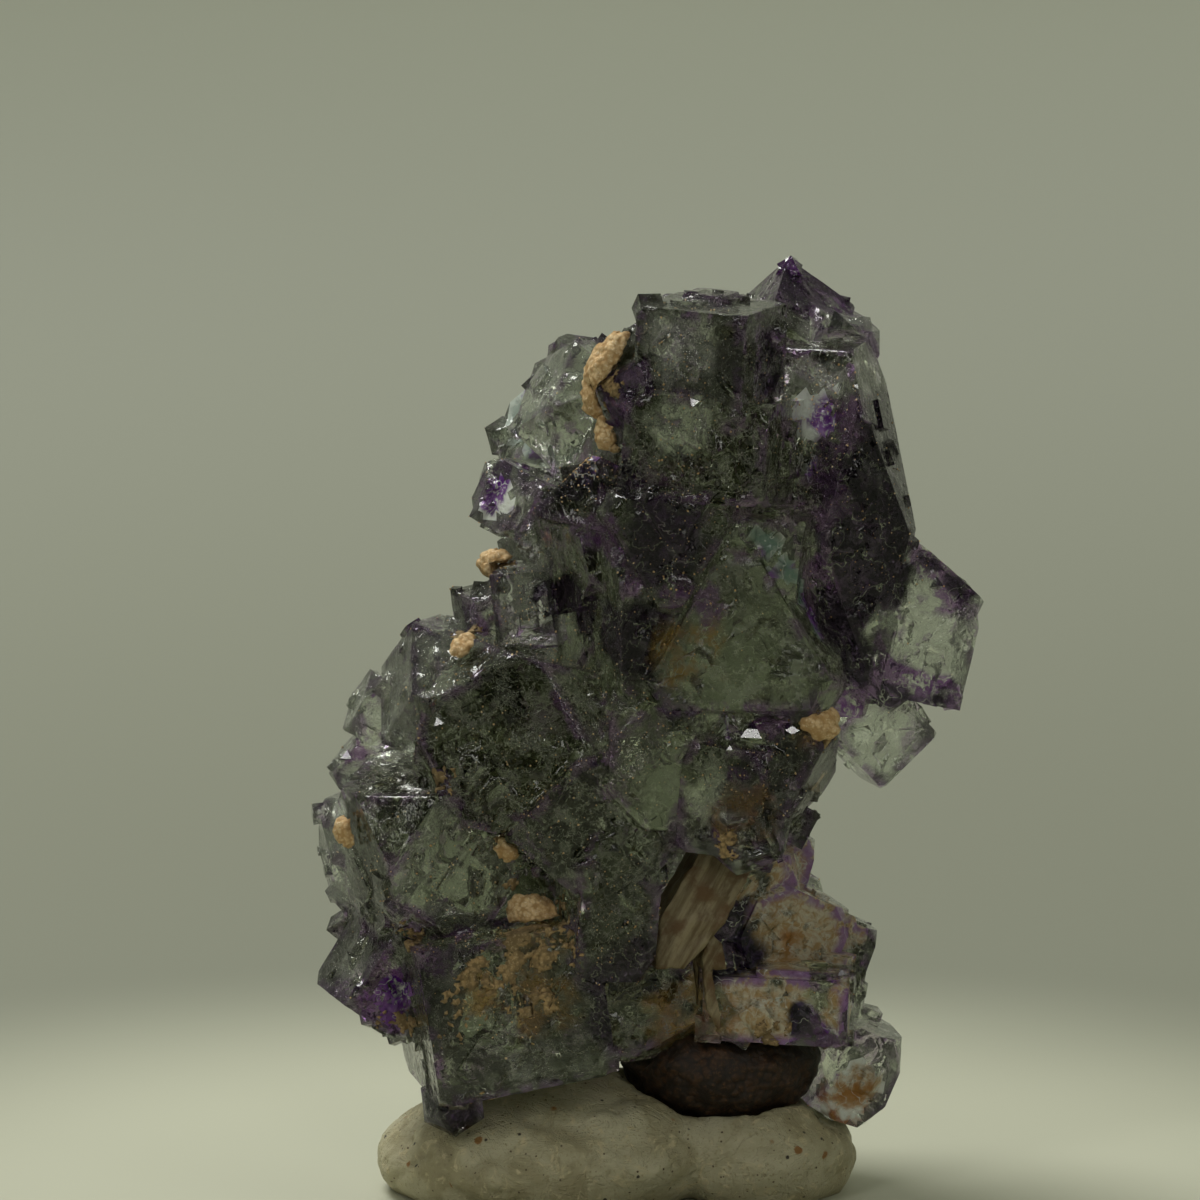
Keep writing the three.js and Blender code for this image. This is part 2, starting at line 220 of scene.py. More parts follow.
def zone(point, spots):
    """How far inside its nearest spot a point is, from 0 outside to 1 at the middle, in uneven steps."""
    wander = noise.noise_vector(point * 0.55) * 0.9 + noise.noise_vector(point * 1.9) * 0.35
    best = 0.0
    for x, y, z, radius in spots:
        near = 1.25 - (point + wander - Vector((x, y, z))).length / radius
        best = max(best, min(1.0, near * 1.6))
    return best


PURPLE_SPOTS = (
    (7.3, -6.3, 38.9, 1.7), (0.7, -6.2, 37.3, 1.1), (8.6, 0.6, 42.0, 2.0), (10.9, 1.4, 40.8, 1.0),
    (12.1, -3.6, 35.0, 2.4), (11.5, -4.6, 31.8, 2.6), (10.6, -4.6, 28.4, 2.4), (11.0, -3.6, 24.0, 1.8),
    (13.2, -3.8, 31.0, 1.0), (14.3, -3.3, 29.8, 1.0), (15.5, -2.9, 28.4, 1.0), (12.4, -3.8, 23.8, 1.1),
    (13.5, -3.6, 23.2, 1.6), (14.9, -3.2, 23.0, 1.5), (3.4, -8.0, 29.0, 0.7), (4.4, -8.0, 27.9, 0.8),
    (0.0, -6.6, 31.2, 1.1), (1.2, -7.8, 29.6, 0.9), (-4.9, -0.2, 32.6, 1.0), (-3.4, 1.0, 32.2, 1.2),
    (-6.0, -2.2, 27.1, 0.9), (-8.0, -1.8, 26.4, 0.9), (-9.8, -2.4, 25.0, 0.7), (-6.8, -6.2, 12.8, 0.7),
    (-7.8, -7.4, 12.3, 0.7), (10.6, -4.1, 10.8, 0.7), (11.5, -2.4, 9.7, 0.8), (9.4, -4.2, 8.2, 1.0),
    (-11.6, -4.4, 9.8, 1.2), (-9.4, -4.6, 9.8, 1.3), (-10.4, -5.2, 11.6, 0.9), (-11.4, 0.0, 20.5, 1.0),
    (7.2, -7.6, 22.9, 0.7), (5.6, -7.8, 20.6, 0.5), (8.0, 6.0, 36.0, 2.6), (-3.0, 8.5, 24.0, 2.2),
    (5.0, 9.5, 15.0, 2.0), (3.0, 9.8, 31.0, 1.8), (-6.4, 6.6, 12.0, 1.6),
)
DARK_SPOTS = (
    (7.3, -6.2, 38.8, 1.6), (12.0, -3.8, 33.8, 2.0), (11.2, -4.6, 30.6, 1.8), (10.4, -4.4, 27.0, 1.6),
    (-1.6, -4.6, 33.4, 1.5), (0.9, -6.8, 33.6, 1.0), (-6.9, -6.2, 4.6, 1.6), (-4.4, -5.0, 13.2, 0.9),
    (-1.4, -4.4, 27.6, 1.6), (-9.9, -2.6, 24.8, 0.6), (2.6, -7.6, 31.2, 2.2), (1.2, -7.4, 26.6, 2.0),
    (1.2, -6.0, 10.4, 2.6), (13.8, -3.6, 30.6, 0.7), (12.6, -3.7, 23.4, 0.6), (8.8, -4.2, 8.6, 0.9),
    (3.4, -5.2, 17.4, 2.0), (4.6, -3.0, 12.0, 2.6), (12.6, -2.6, 35.0, 2.4), (12.4, -3.0, 31.6, 2.2),
    (11.6, -3.8, 28.4, 2.0), (10.6, -4.4, 25.2, 1.6), (13.2, -3.4, 22.4, 1.1), (14.5, -3.0, 22.6, 0.9),
    (13.3, -3.5, 30.9, 0.75), (14.4, -3.1, 29.6, 0.7), (15.5, -2.8, 28.3, 0.6),
)
PALE_SPOTS = (
    (13.8, -1.8, 26.2, 4.6), (12.4, -0.4, 21.2, 2.9), (-1.2, 2.8, 35.9, 3.8), (-2.7, 6.5, 34.2, 2.4),
    (-3.4, -2.4, 27.5, 2.4), (-4.0, 0.4, 31.8, 2.4), (9.2, -3.6, 36.6, 1.9), (2.9, -1.2, 40.0, 2.0),
    (10.4, 0.8, 38.8, 2.6), (7.8, 0.8, 40.2, 1.7), (-7.6, -2.4, 23.2, 3.8), (-10.6, 0.6, 21.0, 2.6), (-11.4, -0.6, 16.4, 3.6),
    (3.8, -6.0, 39.4, 2.2), (3.4, -7.0, 36.2, 1.5), (11.4, 0.0, 5.8, 3.2), (9.2, -0.4, 14.4, 1.8),
    (-10.4, -3.4, 11.0, 1.5), (-9.4, -4.4, 17.6, 1.6), (5.2, -6.6, 19.6, 1.6),
    (-4.0, 7.0, 20.0, 3.2), (8.0, 6.0, 26.0, 3.2), (3.0, 9.6, 17.4, 2.8), (9.8, 5.2, 28.6, 3.4),
    (-1.6, 7.6, 28.2, 2.9), (6.2, 10.2, 24.0, 3.0), (-6.8, 6.6, 20.8, 3.0), (-8.6, 5.2, 13.8, 2.9),
    (6.6, 7.4, 11.4, 3.0), (9.8, 4.8, 7.4, 2.6), (6.6, 7.8, 35.4, 2.6), (-6.4, 5.6, 8.6, 2.4),
)
STAIN_SPOTS = (
    (3.8, -8.0, 26.0, 1.6), (6.3, -7.9, 18.9, 1.7), (9.4, -7.2, 22.5, 1.0), (-3.2, -6.6, 12.4, 1.6),
    (-2.9, -6.9, 9.6, 1.6), (-5.6, -7.5, 10.2, 1.0), (11.2, -2.0, 4.2, 1.4), (4.2, -1.8, 8.6, 2.4),
    (8.4, -2.6, 12.0, 1.0), (4.0, -6.4, 38.9, 1.0), (5.0, 9.0, 24.0, 1.8),
)
CREAM_SPOTS = (
    (8.9, -0.8, 14.2, 2.2), (8.0, -2.2, 12.4, 2.2), (10.2, -1.6, 12.2, 1.8), (7.2, -3.6, 9.6, 2.2),
    (10.4, -3.6, 9.2, 1.2), (8.6, -5.4, 20.4, 1.2), (11.4, -1.8, 5.0, 1.2), (5.8, -2.6, 14.4, 1.4),
    (0.4, 9.0, 9.6, 1.8), (8.2, 7.8, 13.0, 1.2),
)
TEAL_SPOTS = (
    (7.2, -7.6, 31.0, 0.7), (7.8, -7.2, 29.6, 0.8), (8.5, -6.6, 28.2, 0.9), (9.2, -6.0, 26.8, 0.8),
    (-2.8, 6.0, 34.6, 2.0),
)

# Small flat faces that mirror a light towards the front, each as its place, its size and its turn.
MIRROR_FACETS = (
    (6.6, -7.9, 22.3, 0.75, 0), (8.3, -7.5, 22.4, 0.6, 30), (8.9, -7.1, 22.6, 0.35, 10), (5.6, -8.0, 21.9, 0.22, 0),
    (10.5, -1.2, 40.0, 0.9, 20), (4.0, -7.8, 37.2, 0.35, 45), (3.2, -7.9, 38.2, 0.3, 15), (7.4, -6.6, 36.9, 0.3, 0),
    (15.0, -3.1, 28.4, 0.5, 10), (13.0, -3.8, 24.8, 0.3, 40), (-7.4, -6.3, 22.6, 0.35, 20),
    (-3.6, -3.8, 28.2, 0.3, 0), (-2.6, -3.9, 27.2, 0.25, 30), (-12.0, -0.9, 20.4, 0.4, 0),
    (-12.4, -1.7, 15.0, 0.35, 0), (10.8, -4.2, 11.0, 0.3, 15), (-4.9, -0.3, 31.6, 0.3, 0), (1.0, -7.0, 33.2, 0.3, 50),
    (-11.0, -5.0, 10.2, 0.3, 0), (0.4, -7.0, 17.0, 0.45, 0), (8.2, -4.2, 9.8, 0.25, 0), (-0.6, -7.4, 21.0, 0.4, 25),
)
MIRROR_NORMAL = Vector((-0.21, -0.864, 0.458))

rng = random.Random(11)
crystals = merged_copy("fluorite_crystals")
faces = crystals.copy()
bmesh.ops.dissolve_limit(faces, angle_limit=math.radians(0.6), verts=faces.verts, edges=faces.edges)
waiting = layer_plates(faces, rng)
outer_edges = edge_tree_of(faces)
flat_faces = bvhtree.BVHTree.FromBMesh(faces)
faces.free()
base_mesh = bpy.data.meshes.new("crystal_base")
crystals.to_mesh(base_mesh)
crystals.free()
base = bpy.data.objects.new("crystal_base", base_mesh)
scene.collection.objects.link(base)
while waiting:
    layer = bmesh.new()
    placed, later = [], []
    for spot, matrix, reach in waiting:
        if all((spot - other).length > reach + far + 0.05 * MM for other, far in placed):
            bmesh.ops.create_cube(layer, size=1.0, matrix=matrix)
            placed.append((spot, reach))
        else:
            later.append((spot, matrix, reach))
    join_layer(base, layer)
    waiting = later
layer = bmesh.new()
for x, y, z, size, turn in MIRROR_FACETS:
    spot, normal, _, _ = flat_faces.find_nearest(Vector((x, y, z)) * MM)
    matrix = Matrix.Translation(spot - MIRROR_NORMAL * size * 0.22 * MM)
    matrix @= MIRROR_NORMAL.to_track_quat("Z", "Y").to_matrix().to_4x4()
    matrix @= Matrix.Rotation(math.radians(turn), 4, "Z") @ Matrix.Scale(size * MM, 4)
    bmesh.ops.create_cone(
        layer, cap_ends=True, segments=3, radius1=1.0, radius2=0.75, depth=1.2, matrix=matrix
    )
join_layer(base, layer)
crystals = bmesh.new()
crystals.from_mesh(base.data)
bpy.data.objects.remove(base)
bmesh.ops.remove_doubles(crystals, verts=crystals.verts, dist=0.002 * MM)
evened(crystals, FACET_LENGTH)

zones = crystals.verts.layers.float_color.new("zones")
tones = crystals.verts.layers.float_color.new("tones")
for vert in crystals.verts:
    point = vert.co / MM
    edge_gap = outer_edges.find(vert.co)[2] / MM
    near_edge = max(0.0, 1.0 - edge_gap / 0.9)
    vert[zones] = (
        zone(point, PURPLE_SPOTS), zone(point, DARK_SPOTS), zone(point, PALE_SPOTS), zone(point, STAIN_SPOTS)
    )
    vert[tones] = (near_edge, zone(point, TEAL_SPOTS), max(0.0, vert.normal.z), zone(point, CREAM_SPOTS))
facet_tones = crystals.faces.layers.float_color.new("facets")
mirror_faces = set()
for face in crystals.faces:
    _, _, index, _ = flat_faces.find_nearest(face.calc_center_median() - face.normal * 0.1 * MM)
    own = random.Random(index * 977 + round(face.normal.x * 9) + 31 * round(face.normal.z * 9))
    face[facet_tones] = (own.random(), own.random(), own.random(), 1.0)
    if face.normal.dot(MIRROR_NORMAL.normalized()) > 0.9995:
        mirror_faces.add(face)
shifts = []
for vert in crystals.verts:
    if any(face in mirror_faces for face in vert.link_faces):
        shifts.append(Vector())
        continue
    point = vert.co / MM
    coarse = noise.noise(point * 0.9) * 0.022
    fine = noise.noise(point * 3.1 + Vector((7, 3, 1))) * 0.014
    shifts.append(vert.normal * ((coarse + fine) * MM))
for vert, shift in zip(crystals.verts, shifts):
    vert.co += shift
crystals.normal_update()



def new_group(name, inputs, outputs):
    """A shader node group with its input and output nodes, each socket given as a name and a kind."""
    group = bpy.data.node_groups.new(name, "ShaderNodeTree")
    for sockets, side in ((inputs, "INPUT"), (outputs, "OUTPUT")):
        for label, kind in sockets.items():
            group.interface.new_socket(label, in_out=side, socket_type="NodeSocket" + kind)
    return group, group.nodes.new("NodeGroupInput").outputs, group.nodes.new("NodeGroupOutput").inputs


def place_group(tree, group, inputs):
    made = tree.nodes.new("ShaderNodeGroup")
    made.node_tree = group
    for socket, value in inputs.items():
        if isinstance(value, bpy.types.NodeSocket):
            tree.links.new(value, made.inputs[socket])
        else:
            made.inputs[socket].default_value = value
    return made.outputs


def tilted_cells(tree, place, scale, tilt):
    """The height of a surface of small flat cleavage facets, each tilted its own way, in millimetres."""
    blocks = add_node(
        tree,
        "ShaderNodeMapping",
        {"Vector": place, "Rotation": (0.6, 0.35 + 0.1 * scale, 0.25), "Scale": (scale, scale, scale)},
    )
    block = add_node(tree, "ShaderNodeVectorMath", {0: blocks.outputs[0]}, operation="FLOOR")
    within = add_node(tree, "ShaderNodeVectorMath", {0: blocks.outputs[0]}, operation="FRACTION")
    offset = add_node(
        tree, "ShaderNodeVectorMath", {0: within.outputs[0], 1: (0.5, 0.5, 0.5)}, operation="SUBTRACT"
    )
    own = add_node(tree, "ShaderNodeTexWhiteNoise", {"Vector": block.outputs[0]})
    lean = add_node(
        tree, "ShaderNodeVectorMath", {0: own.outputs["Color"], 1: (0.5, 0.5, 0.5)}, operation="SUBTRACT"
    )
    along = add_node(
        tree, "ShaderNodeVectorMath", {0: offset.outputs[0], 1: lean.outputs[0]}, operation="DOT_PRODUCT"
    )
    return maths(tree, "MULTIPLY", along.outputs["Value"], tilt / scale)


def thin_lines(tree, place, scale, width, distortion):
    """A mask of thin wandering lines, where a noise passes through its middle value."""
    value = noise_of(tree, place, scale, 3.0, 0.6, distortion)
    away = maths(tree, "ABSOLUTE", maths(tree, "SUBTRACT", value, 0.5))
    return ramp(tree, away, width, width * 0.3)


def terraces(tree, place, scale, levels, rise):
    """The height of a surface that climbs in small steps with rounded risers, in millimetres."""
    climb = maths(tree, "MULTIPLY", noise_of(tree, place, scale, 1.0, 0.45), levels)
    riser = ramp(tree, maths(tree, "FRACT", climb), 0.0, 0.35)
    return maths(tree, "MULTIPLY", maths(tree, "ADD", maths(tree, "FLOOR", climb), riser), rise)


def fluorite_surface():
    """The pattern of the fluorite's surface: its colour zones, veils, cracks and etched facets."""
    tree, given, made = new_group(
        "fluorite_surface",
        {
            "Place": "Vector", "Zones": "Color", "Stain": "Float",
            "Tones": "Color", "Cream": "Float", "Facets": "Color",
        },
        {"Color": "Color", "Roughness": "Float", "Height": "Float"},
    )
    place = given["Place"]
    zone_parts = add_node(tree, "ShaderNodeSeparateColor", {0: given["Zones"]}).outputs
    tone_parts = add_node(tree, "ShaderNodeSeparateColor", {0: given["Tones"]}).outputs
    purple_zone, dark_zone, pale_zone = zone_parts[0], zone_parts[1], zone_parts[2]
    edge_zone, teal_zone = tone_parts[0], tone_parts[1]
    facet_parts = add_node(tree, "ShaderNodeSeparateColor", {0: given["Facets"]}).outputs

    broad = noise_of(tree, place, 0.22, 2.0, 0.5)
    cloud = noise_of(tree, place, 0.9, 3.0, 0.6)
    veil = noise_of(tree, place, 1.9, 4.0, 0.72, 1.5)
    grime = noise_of(tree, place, 5.0, 2.0, 0.7)
    frost = ramp(tree, noise_of(tree, place, 0.8, 3.0, 0.7), 0.52, 0.62)
    cracks = thin_lines(tree, place, 0.55, 0.008, 0.0)
    ridges = thin_lines(tree, place, 1.3, 0.014, 0.0)

    color = blended(tree, ramp(tree, broad, 0.38, 0.62), tint(52, 54, 38), tint(96, 102, 84))
    color = blended(tree, ramp(tree, facet_parts[0], 0.5, 0.1), color, tint(28, 29, 20))
    color = blended(tree, ramp(tree, facet_parts[0], 0.6, 1.3), color, tint(196, 204, 186))
    color = blended(tree, ramp(tree, cloud, 0.5, 0.7), color, tint(70, 66, 48))
    color = blended(tree, maths(tree, "MULTIPLY", ramp(tree, veil, 0.56, 0.66), 0.6), color, tint(220, 224, 212))
    color = blended(tree, ridges, color, tint(206, 208, 196))
    color = blended(tree, maths(tree, "MULTIPLY", frost, 0.5), color, tint(196, 198, 192))
    color = blended(tree, ramp(tree, pale_zone, 0.1, 0.8), color, tint(244, 249, 240))
    color = blended(tree, maths(tree, "MULTIPLY", teal_zone, 0.8), color, tint(84, 120, 104))
    cream = maths(tree, "MULTIPLY", ramp(tree, given["Cream"], 0.1, 0.8), ramp(tree, cloud, 0.3, 0.5))
    cream_color = blended(tree, ramp(tree, veil, 0.4, 0.6), tint(184, 152, 104), tint(214, 204, 178))
    color = blended(tree, cream, color, cream_color)
    edges = maths(tree, "MULTIPLY", ramp(tree, edge_zone, 0.35, 0.85), ramp(tree, cloud, 0.46, 0.54))
    purple = maths(tree, "MULTIPLY", ramp(tree, purple_zone, 0.05, 0.5), ramp(tree, veil, 0.36, 0.5))
    purple = maths(tree, "ADD", purple, maths(tree, "MULTIPLY", edges, 0.8), clamp=True)
    purple_color = blended(tree, ramp(tree, cloud, 0.35, 0.65), tint(84, 34, 116), tint(146, 100, 172))
    color = blended(tree, purple, color, purple_color)
    dark_color = blended(tree, ramp(tree, veil, 0.45, 0.65), tint(20, 15, 26), tint(62, 44, 80))
    color = blended(tree, ramp(tree, dark_zone, 0.1, 0.7), color, dark_color)
    stain = maths(tree, "MULTIPLY", ramp(tree, given["Stain"], 0.1, 0.9), ramp(tree, cloud, 0.35, 0.6))
    color = blended(tree, stain, color, tint(172, 118, 56))
    color = blended(tree, maths(tree, "MULTIPLY", cracks, 0.6), color, tint(226, 228, 218))
    color = blended(tree, maths(tree, "MULTIPLY", ramp(tree, grime, 0.62, 0.74), 0.3), color, tint(92, 80, 58))
    tree.links.new(color, made["Color"])

    height = maths(tree, "ADD", tilted_cells(tree, place, 0.7, 0.08), tilted_cells(tree, place, 2.2, 0.11))
    glitter = maths(tree, "MULTIPLY", tilted_cells(tree, place, 4.6, 0.7), ramp(tree, cloud, 0.55, 0.61))
    height = maths(tree, "ADD", height, glitter)
    height = maths(tree, "ADD", height, terraces(tree, place, 0.42, 9.0, 0.012))
    hollows = noise_of(tree, place, 1.4, 1.0, 0.45)
    height = maths(tree, "ADD", height, maths(tree, "MULTIPLY", hollows, 0.04))
    etched = maths(tree, "MULTIPLY", noise_of(tree, place, 7.0, 0.0, 0.5), maths(tree, "MULTIPLY", frost, 0.022))
    height = maths(tree, "ADD", height, etched)
    height = maths(tree, "ADD", height, maths(tree, "MULTIPLY", ridges, 0.015))
    tree.links.new(height, made["Height"])

    rough = maths(tree, "ADD", maths(tree, "MULTIPLY", frost, 0.12), 0.02)
    rough = maths(tree, "ADD", rough, maths(tree, "MULTIPLY", ramp(tree, facet_parts[1], 0.6, 1.1), 0.16))
    rough = maths(tree, "ADD", rough, maths(tree, "MULTIPLY", stain, 0.25))
    rough = maths(tree, "ADD", rough, maths(tree, "MULTIPLY", cream, 0.3), clamp=True)
    tree.links.new(rough, made["Roughness"])
    return tree


def fluorite_material(name, surface, transmission, relief):
    """Fluorite with its own share of light that goes through it, and its own depth of relief."""
    material, tree, output, place = new_material(name)
    zone_map = add_node(tree, "ShaderNodeAttribute", attribute_name="zones").outputs
    tone_map = add_node(tree, "ShaderNodeAttribute", attribute_name="tones").outputs
    pattern = place_group(
        tree,
        surface,
        {
            "Place": place,
            "Zones": zone_map["Color"],
            "Stain": zone_map["Alpha"],
            "Tones": tone_map["Color"],
            "Cream": tone_map["Alpha"],
            "Facets": add_node(tree, "ShaderNodeAttribute", attribute_name="facets").outputs["Color"],
        },
    )
    bump = add_node(tree, "ShaderNodeBump", {"Height": pattern["Height"], "Strength": relief, "Distance": MM})
    shader = add_node(
        tree,
        "ShaderNodeBsdfPrincipled",
        {
            "Base Color": pattern["Color"],
            "Roughness": pattern["Roughness"],
            "IOR": 1.434,
            "Transmission Weight": transmission,
            "Normal": bump.outputs["Normal"],
        },
    )
    absorb = add_node(tree, "ShaderNodeVolumeAbsorption", {"Color": tint(172, 181, 145), "Density": 80.0})
    tree.links.new(shader.outputs[0], output.inputs["Surface"])
    tree.links.new(absorb.outputs[0], output.inputs["Volume"])
    return material


surface = fluorite_surface()
clear_fluorite = fluorite_material("clear_fluorite", surface, 0.94, 0.75)
milky_fluorite = fluorite_material("milky_fluorite", surface, 0.3, 0.8)
smooth_fluorite = fluorite_material("smooth_fluorite", surface, 0.9, 0.0)
MILKY_SPOTS = CREAM_SPOTS + (
    (9.4, -4.4, 36.4, 1.3), (9.0, -4.6, 34.0, 0.8), (-4.4, 0.0, 31.9, 1.2), (-1.0, -5.0, 34.2, 0.9),
    (11.2, -2.0, 4.2, 1.2), (-9.6, -4.4, 9.4, 1.0), (5.6, -7.6, 22.6, 0.6), (8.4, 7.0, 30.0, 1.6),
)
for face in crystals.faces:
    if face in mirror_faces:
        face.material_index = 2
    elif zone(face.calc_center_median() / MM, MILKY_SPOTS + TEAL_SPOTS) > 0.45:
        face.material_index = 1
grown_crystals = finished(
    crystals, "fluorite_crystals_grown", clear_fluorite, ["fluorite_crystals"], 28
)
grown_crystals.data.materials.append(milky_fluorite)
grown_crystals.data.materials.append(smooth_fluorite)
print("TRIANGLES", len(grown_crystals.data.polygons), len(mirror_faces))

# The brown matrix under the lower right of the crystals: a lump of iron-stained rock that they grew on. Its tones are
# darkened well below the rock's own brown, as painted shade from the crystals above it.
# It is a rounded, granular lump, so its solid is cut finer and roughened with small grains.


def roughened(bm, seed_shift, coarse_scale, coarse_size, fine_scale, fine_size):
    """Moves a mesh's corners along their normals by coarse and fine noise, in millimetres."""
    moves = []
    for vert in bm.verts:
        point = vert.co / MM + Vector((seed_shift, 0, 0))
        amount = noise.noise(point * coarse_scale) * coarse_size
        amount += (0.5 - noise.cell(point * fine_scale)) * fine_size
        moves.append(vert.normal * (amount * MM))
    for vert, move in zip(bm.verts, moves):
        vert.co += move
    bm.normal_update()


def grainy_surface():
    """A dry granular surface in three tones, with grains that stand out of it."""
    tree, given, made = new_group(
        "grainy_surface",
        {"Place": "Vector", "Dark": "Color", "Mid": "Color", "Light": "Color", "Grain": "Float"},
        {"Color": "Color", "Grit": "Float", "Height": "Float"},
    )
    place = given["Place"]
    patch = noise_of(tree, place, 0.8, 5.0, 0.6, 0.4)
    grains = add_node(tree, "ShaderNodeTexVoronoi", {"Vector": place, "Scale": given["Grain"]}, feature="F1")
    grit = noise_of(tree, place, maths(tree, "MULTIPLY", given["Grain"], 2.5), 5.0, 0.7)
    color = blended(tree, ramp(tree, patch, 0.35, 0.65), given["Dark"], given["Mid"])
    color = blended(tree, ramp(tree, grit, 0.5, 0.72), color, given["Light"])
    color = blended(tree, ramp(tree, grains.outputs["Distance"], 0.35, 0.8), color, given["Dark"])
    height = maths(tree, "SUBTRACT", maths(tree, "MULTIPLY", grit, 0.6), grains.outputs["Distance"])
    for socket, value in (("Color", color), ("Grit", grit), ("Height", height)):
        tree.links.new(value, made[socket])
    return tree


grains_group = grainy_surface()


def grainy_material(name, dark, mid, light, grain_scale, bump_mm, rough):
    """A dry granular stone in its own three tones."""
    material, tree, output, place = new_material(name)
    pattern = place_group(
        tree, grains_group, {"Place": place, "Dark": dark, "Mid": mid, "Light": light, "Grain": grain_scale}
    )
    bump = add_node(
        tree, "ShaderNodeBump", {"Height": pattern["Height"], "Strength": 0.8, "Distance": bump_mm * MM}
    )
    roughness = maths(tree, "ADD", maths(tree, "MULTIPLY", pattern["Grit"], 0.2), rough)
    shader = add_node(
        tree,
        "ShaderNodeBsdfPrincipled",
        {"Base Color": pattern["Color"], "Roughness": roughness, "IOR": 1.5, "Normal": bump.outputs["Normal"]},
    )
    tree.links.new(shader.outputs[0], output.inputs["Surface"])
    return material


# The three tones are the rock's brown, partly real, darkened far down as painted shade under the crystals.
brown_rock_and_painted_shade = grainy_material("brown_rock_and_painted_shade", tint(30, 20, 10), tint(64, 42, 22), tint(96, 68, 40), 3.0, 0.12, 0.5)
rock = merged_copy("foot_rock")
evened(rock, 0.3 * MM)
roughened(rock, 3.0, 0.9, 0.16, 2.6, 0.10)
finished(rock, "brown_matrix", brown_rock_and_painted_shade, ["foot_rock"], 60)

# The tan matrix grains: crumbly specks of dry clay and sand-coloured mineral, left where they grew
# between the crystals. Each is its solid, cut finer, with the small grains standing out of it.
TAN_GRAINS = (
    "grain_crown", "grain_under_crown", "grain_on_pale_cube", "grain_beside_cube",
    "grain_left", "grain_middle", "grain_front", "grain_overhang",
)
tan_matrix = grainy_material("tan_matrix", tint(176, 140, 92), tint(226, 196, 148), tint(246, 232, 202), 4.5, 0.06, 0.75)
for index, name in enumerate(TAN_GRAINS):
    grain = merged_copy(name)
    evened(grain, 0.16 * MM)
    roughened(grain, 5.0 + index, 1.6, 0.14, 4.2, 0.09)
    finished(grain, name + "_crumbly", tan_matrix, [name], 60)

# The tan crust: what is left of the same matrix on the crystals, thin lacy patches that cling to the
# hollows and to the lower front block. Each patch is the surface under it, raised by a tenth of a
# millimetre where the crust holds and cut away where it doesn't.
CRUST_SPOTS = (
    (-3.0, -6.6, 12.6, 2.2, 0.10), (-5.2, -7.3, 11.4, 1.8, 0.02), (-6.6, -7.6, 9.4, 1.6, -0.02),
    (-3.4, -6.9, 10.0, 2.0, -0.08), (-4.6, -5.0, 17.0, 1.2, 0.0), (-9.4, -4.6, 8.6, 1.1, 0.02),
    (-6.2, -3.0, 25.8, 1.0, 0.06), (-4.6, -1.4, 28.8, 1.0, 0.05), (9.2, -6.8, 22.0, 1.4, 0.04),
    (0.6, -5.2, 37.6, 1.4, 0.06), (-3.0, -5.4, 14.0, 1.6, 0.06), (-8.8, -5.8, 13.2, 1.2, -0.02),
    (-7.2, -6.6, 20.2, 0.9, -0.02), (7.8, -4.2, 8.2, 1.2, -0.04), (-5.6, -6.4, 5.8, 0.9, 0.04),
    (10.6, 1.8, 37.8, 1.2, -0.04), (5.6, -7.2, 17.4, 1.2, -0.02), (4.0, 9.6, 22.0, 1.8, 0.0),
    (-4.0, 9.0, 16.0, 1.8, 0.0),
)
CRUST_FACET = 0.13 * MM
CRUST_HEIGHT = 0.11 * MM


def crust_holds(point):
    """How firmly the crust holds at a point in millimetres: it is there where this is above 0."""
    lace = noise.noise(point * 1.1) * 0.5 + noise.noise(point * 3.3) * 0.32 + noise.noise(point * 8.0) * 0.2
    best = -1.0
    for x, y, z, radius, bias in CRUST_SPOTS:
        gap = (point - Vector((x, y, z))).length / radius
        best = max(best, lace + bias + 0.12 - 0.5 * gap * gap)
    return best


def crust_on(surface):
    """A bmesh of closed lacy patches that follow the surface, half sunk in it."""
    bm = bmesh.new()
    bm.from_mesh(surface.data)
    away = [face for face in bm.faces if not near_spot(face.calc_center_median() / MM, CRUST_SPOTS, 1.4)]
    bmesh.ops.delete(bm, geom=away, context="FACES")
    evened(bm, CRUST_FACET)
    bare = [face for face in bm.faces if crust_holds(face.calc_center_median() / MM) < 0.0]
    bmesh.ops.delete(bm, geom=bare, context="FACES")
    pinched = True
    while pinched:
        pinched = [vert for vert in bm.verts if sum(edge.is_boundary for edge in vert.link_edges) > 2]
        bmesh.ops.delete(bm, geom=pinched, context="VERTS")
    bm.normal_update()
    tops = bmesh.ops.extrude_face_region(bm, geom=bm.faces[:], use_keep_orig=True)["geom"]
    for vert in (part for part in tops if isinstance(part, bmesh.types.BMVert)):
        lift = 0.35 + 0.65 * min(1.0, max(0.0, crust_holds(vert.co / MM)) * 6.0)
        vert.co += vert.normal * (CRUST_HEIGHT * lift * (0.8 + 0.5 * noise.noise(vert.co / MM * 6.0)))
    bmesh.ops.recalc_face_normals(bm, faces=bm.faces)
    return bm


def near_spot(point, spots, share):
    return any((point - Vector(spot[:3])).length < spot[3] * share for spot in spots)


dusty_crust = grainy_material(
    "dusty_crust", tint(116, 98, 68), tint(170, 142, 98), tint(206, 186, 148), 5.0, 0.05, 0.8
)
finished(crust_on(grown_crystals), "tan_crust", dusty_crust, [], 70)

